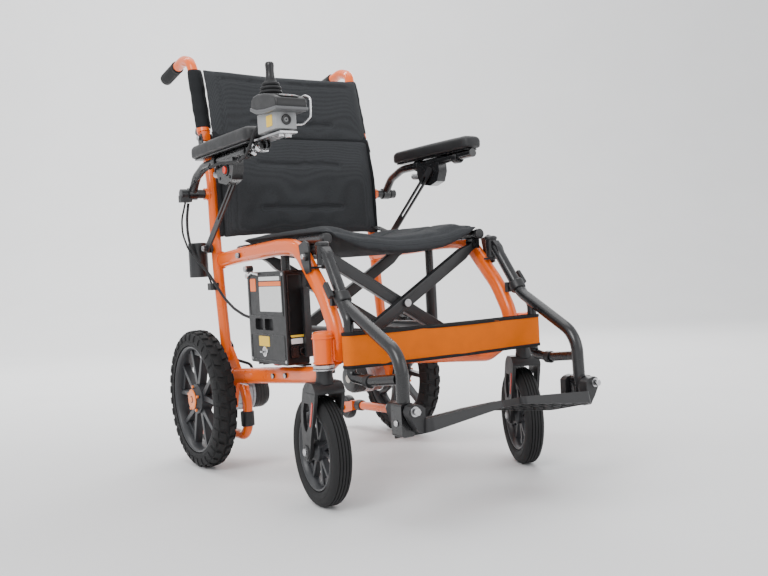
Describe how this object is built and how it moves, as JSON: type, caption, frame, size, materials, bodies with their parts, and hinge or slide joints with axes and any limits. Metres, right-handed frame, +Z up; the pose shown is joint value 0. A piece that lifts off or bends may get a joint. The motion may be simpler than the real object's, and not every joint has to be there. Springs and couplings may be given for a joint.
{
  "type": "power wheelchair",
  "caption": "Folding power wheelchair: side frames on crossing bars, hub motor drive wheels, casters, padded seat and back, armrests, joystick, swing-away footrests.",
  "frame": {"origin": "bottom centre of the bounding box, on the floor, in the middle plane between the side frames", "axes": "+Z up, the chair faces -Y, +X is the user's left"},
  "size_m": [0.5908, 1.0047, 0.9415],
  "materials": {
    "frame_paint": "gloss",
    "black_paint": "semi-gloss",
    "zinc_steel": "satin",
    "motor_case": "satin",
    "tyre": "matte",
    "wheel_rim": "satin",
    "black_plastic": "matte",
    "gloss_black": "gloss",
    "grip_rubber": "matte",
    "pad_skin": "satin",
    "mesh_fabric": "woven",
    "strap_fabric": "woven",
    "red_plastic": "gloss"
  },
  "bodies": {
    "frame_right": {"side_frame_right": "frame_paint", "frame_fittings_right": "black_paint", "motor_right": "motor_case", "anti_tip_tube_right": "frame_paint", "armrest_pivot_bolt_right": "zinc_steel", "back_panel_lower": "mesh_fabric", "frame_lead": "grip_rubber", "calf_strap": "strap_fabric"},
    "frame_left": {"side_frame_left": "frame_paint", "frame_fittings_left": "black_paint", "motor_left": "motor_case", "anti_tip_tube_left": "frame_paint", "armrest_pivot_bolt_left": "zinc_steel"},
    "bars_b": {"crossing_bars_b": "black_paint", "crossing_bolts": "zinc_steel"},
    "bars_a": {"crossing_bars_a": "black_paint"},
    "seat_rail_right": {"seat_rail_right": "black_paint", "seat_cushion": "mesh_fabric"},
    "seat_rail_left": {"seat_rail_left": "black_paint"},
    "back_right": {"back_post_right": "frame_paint", "push_grip_right": "grip_rubber", "back_panel_upper": "mesh_fabric"},
    "back_left": {"back_post_left": "frame_paint", "push_grip_left": "grip_rubber"},
    "back_lever_right": {"back_release_lever_right": "black_plastic"},
    "back_lever_left": {"back_release_lever_left": "black_plastic"},
    "armrest_right": {"armrest_frame_right": "black_paint", "armrest_pad_right": "pad_skin", "controller_housing": "gloss_black", "controller_bracket": "zinc_steel", "joystick_gaiter": "grip_rubber", "controller_lead": "grip_rubber"},
    "armrest_left": {"armrest_frame_left": "black_paint", "armrest_pad_left": "pad_skin"},
    "arm_button_right": {"armrest_button_right": "red_plastic"},
    "arm_button_left": {"armrest_button_left": "red_plastic"},
    "strut_right": {"armrest_strut_right": "black_paint"},
    "strut_left": {"armrest_strut_left": "black_paint"},
    "joy_gimbal": {"joystick_gimbal": "black_plastic"},
    "joystick": {"joystick_stick": "gloss_black"},
    "battery": {"battery_box": "black_plastic"},
    "battery_key": {"battery_key": "zinc_steel"},
    "hanger_right": {"hanger_right": "black_paint"},
    "hanger_left": {"hanger_left": "black_paint"},
    "hanger_lever_right": {"hanger_release_lever_right": "black_plastic"},
    "hanger_lever_left": {"hanger_release_lever_left": "black_plastic"},
    "footplate_right": {"footplate_right": "black_plastic"},
    "footplate_left": {"footplate_left": "black_plastic"},
    "caster_right": {"caster_fork_right": "black_plastic"},
    "caster_left": {"caster_fork_left": "black_plastic"},
    "caster_wheel_right": {"caster_rim_right": "wheel_rim", "caster_tyre_right": "tyre"},
    "caster_wheel_left": {"caster_rim_left": "wheel_rim", "caster_tyre_left": "tyre"},
    "drive_wheel_right": {"drive_rim_right": "wheel_rim", "drive_tyre_right": "tyre"},
    "drive_wheel_left": {"drive_rim_left": "wheel_rim", "drive_tyre_left": "tyre"},
    "tip_wheel_right": {"anti_tip_wheel_right": "black_plastic"},
    "tip_wheel_left": {"anti_tip_wheel_left": "black_plastic"}
  },
  "joints": [
    {"name": "frame_fold", "type": "hinge", "parent": "frame_right", "child": "bars_b", "pos_m": [-0.1844, -0.0445, 0.2396], "axis": [0, -1, 0], "range_deg": [0, 34], "deforming": ["seat_cushion", "back_panel_lower", "back_panel_upper", "calf_strap"]},
    {"name": "bars_cross", "type": "hinge", "parent": "bars_b", "child": "bars_a", "pos_m": [-0.0044, -0.0445, 0.349], "axis": [0, 1, 0], "range_deg": [0, 68.5]},
    {"name": "left_foot_pivot", "type": "hinge", "parent": "bars_a", "child": "frame_left", "pos_m": [0.1756, -0.0445, 0.2396], "axis": [0, -1, 0], "range_deg": [0, 34.5]},
    {"name": "right_rail_pivot", "type": "hinge", "parent": "bars_a", "child": "seat_rail_right", "pos_m": [-0.1844, -0.0445, 0.4584], "axis": [0, -1, 0], "range_deg": [0, 34.5]},
    {"name": "left_rail_pivot", "type": "hinge", "parent": "bars_b", "child": "seat_rail_left", "pos_m": [0.1756, -0.0445, 0.4584], "axis": [0, 1, 0], "range_deg": [0, 34.5]},
    {"name": "back_fold_right", "type": "hinge", "parent": "frame_right", "child": "back_right", "pos_m": [-0.2134, 0.2835, 0.735], "axis": [-1, 0, 0], "range_deg": [0, 90]},
    {"name": "back_lever_right", "type": "hinge", "parent": "back_right", "child": "back_lever_right", "pos_m": [-0.2134, 0.3105, 0.749], "axis": [1, 0, 0], "range_deg": [0, 20], "stiffness_Nm_per_rad": 0.3},
    {"name": "armrest_flip_right", "type": "hinge", "parent": "frame_right", "child": "armrest_right", "pos_m": [-0.2604, 0.2595, 0.606], "axis": [-1, 0, 0], "range_deg": [0, 80]},
    {"name": "armrest_button_right", "type": "slide", "parent": "armrest_right", "child": "arm_button_right", "axis": [1, 0, 0], "range_m": [0, 0.004], "stiffness_N_per_m": 400},
    {"name": "strut_swing_right", "type": "hinge", "parent": "frame_right", "child": "strut_right", "pos_m": [-0.2439, 0.2355, 0.483], "axis": [1, 0, 0], "range_deg": [0, 34]},
    {"name": "hanger_swing_right", "type": "hinge", "parent": "frame_right", "child": "hanger_right", "pos_m": [-0.2024, -0.2165, 0.448], "axis": [0, 0, -1], "range_deg": [0, 90]},
    {"name": "hanger_lever_right", "type": "hinge", "parent": "hanger_right", "child": "hanger_lever_right", "pos_m": [-0.2274, -0.2735, 0.386], "axis": [1, 0, 0], "range_deg": [0, 15], "stiffness_Nm_per_rad": 0.3},
    {"name": "footplate_flip_right", "type": "hinge", "parent": "hanger_right", "child": "footplate_right", "pos_m": [-0.2034, -0.4505, 0.193], "axis": [0, -1, 0], "range_deg": [0, 76.5]},
    {"name": "caster_swivel_right", "type": "hinge", "parent": "frame_right", "child": "caster_right", "pos_m": [-0.2364, -0.2595, 0.28], "axis": [0, 0, 1], "continuous": true},
    {"name": "caster_spin_right", "type": "hinge", "parent": "caster_right", "child": "caster_wheel_right", "pos_m": [-0.23322, -0.22766, 0.1], "axis": [0.9951, -0.0993, 0], "continuous": true},
    {"name": "drive_spin_right", "type": "hinge", "parent": "frame_right", "child": "drive_wheel_right", "pos_m": [-0.2694, 0.2495, 0.152], "axis": [1, 0, 0], "continuous": true},
    {"name": "tip_spin_right", "type": "hinge", "parent": "frame_right", "child": "tip_wheel_right", "pos_m": [-0.2074, 0.4105, 0.055], "axis": [1, 0, 0], "continuous": true},
    {"name": "back_fold_left", "type": "hinge", "parent": "frame_left", "child": "back_left", "pos_m": [0.2046, 0.2835, 0.735], "axis": [-1, 0, 0], "range_deg": [0, 90]},
    {"name": "back_lever_left", "type": "hinge", "parent": "back_left", "child": "back_lever_left", "pos_m": [0.2046, 0.3105, 0.749], "axis": [1, 0, 0], "range_deg": [0, 20], "stiffness_Nm_per_rad": 0.3},
    {"name": "armrest_flip_left", "type": "hinge", "parent": "frame_left", "child": "armrest_left", "pos_m": [0.2516, 0.2595, 0.606], "axis": [-1, 0, 0], "range_deg": [0, 80]},
    {"name": "armrest_button_left", "type": "slide", "parent": "armrest_left", "child": "arm_button_left", "axis": [-1, 0, 0], "range_m": [0, 0.004], "stiffness_N_per_m": 400},
    {"name": "strut_swing_left", "type": "hinge", "parent": "frame_left", "child": "strut_left", "pos_m": [0.2351, 0.2355, 0.483], "axis": [1, 0, 0], "range_deg": [0, 34]},
    {"name": "hanger_swing_left", "type": "hinge", "parent": "frame_left", "child": "hanger_left", "pos_m": [0.1936, -0.2165, 0.448], "axis": [0, 0, 1], "range_deg": [0, 90]},
    {"name": "hanger_lever_left", "type": "hinge", "parent": "hanger_left", "child": "hanger_lever_left", "pos_m": [0.2186, -0.2735, 0.386], "axis": [1, 0, 0], "range_deg": [0, 15], "stiffness_Nm_per_rad": 0.3},
    {"name": "footplate_flip_left", "type": "hinge", "parent": "hanger_left", "child": "footplate_left", "pos_m": [0.1946, -0.4505, 0.193], "axis": [0, 1, 0], "range_deg": [0, 76.5]},
    {"name": "caster_swivel_left", "type": "hinge", "parent": "frame_left", "child": "caster_left", "pos_m": [0.2276, -0.2595, 0.28], "axis": [0, 0, 1], "continuous": true},
    {"name": "caster_spin_left", "type": "hinge", "parent": "caster_left", "child": "caster_wheel_left", "pos_m": [0.24092, -0.2304, 0.1], "axis": [0.9092, -0.4163, 0], "continuous": true},
    {"name": "drive_spin_left", "type": "hinge", "parent": "frame_left", "child": "drive_wheel_left", "pos_m": [0.2606, 0.2495, 0.152], "axis": [1, 0, 0], "continuous": true},
    {"name": "tip_spin_left", "type": "hinge", "parent": "frame_left", "child": "tip_wheel_left", "pos_m": [0.1986, 0.4105, 0.055], "axis": [1, 0, 0], "continuous": true},
    {"name": "stick_sideways", "type": "hinge", "parent": "armrest_right", "child": "joy_gimbal", "pos_m": [-0.2604, -0.1605, 0.729], "axis": [0, 1, 0], "range_deg": [-15, 15], "stiffness_Nm_per_rad": 0.6, "deforming": ["joystick_gaiter"]},
    {"name": "stick_fore_aft", "type": "hinge", "parent": "joy_gimbal", "child": "joystick", "pos_m": [-0.2604, -0.1605, 0.729], "axis": [1, 0, 0], "range_deg": [-15, 15], "stiffness_Nm_per_rad": 0.6, "deforming": ["joystick_gaiter"]},
    {"name": "battery_slide", "type": "slide", "parent": "frame_right", "child": "battery", "axis": [-1, 0, 0], "range_m": [0, 0.15]},
    {"name": "battery_key_turn", "type": "hinge", "parent": "battery", "child": "battery_key", "pos_m": [-0.2514, -0.0545, 0.27], "axis": [1, 0, 0], "range_deg": [0, 90]}
  ],
  "couplings": [
    {"joint": "bars_cross", "follows": "frame_fold", "ratio": 2},
    {"joint": "left_foot_pivot", "follows": "frame_fold", "ratio": 1},
    {"joint": "right_rail_pivot", "follows": "frame_fold", "ratio": 1},
    {"joint": "left_rail_pivot", "follows": "frame_fold", "ratio": 1},
    {"joint": "footplate_flip_right", "follows": "frame_fold", "ratio": 2.2353},
    {"joint": "footplate_flip_left", "follows": "frame_fold", "ratio": 2.2353},
    {"joint": "back_fold_left", "follows": "back_fold_right", "ratio": 1}
  ]
}
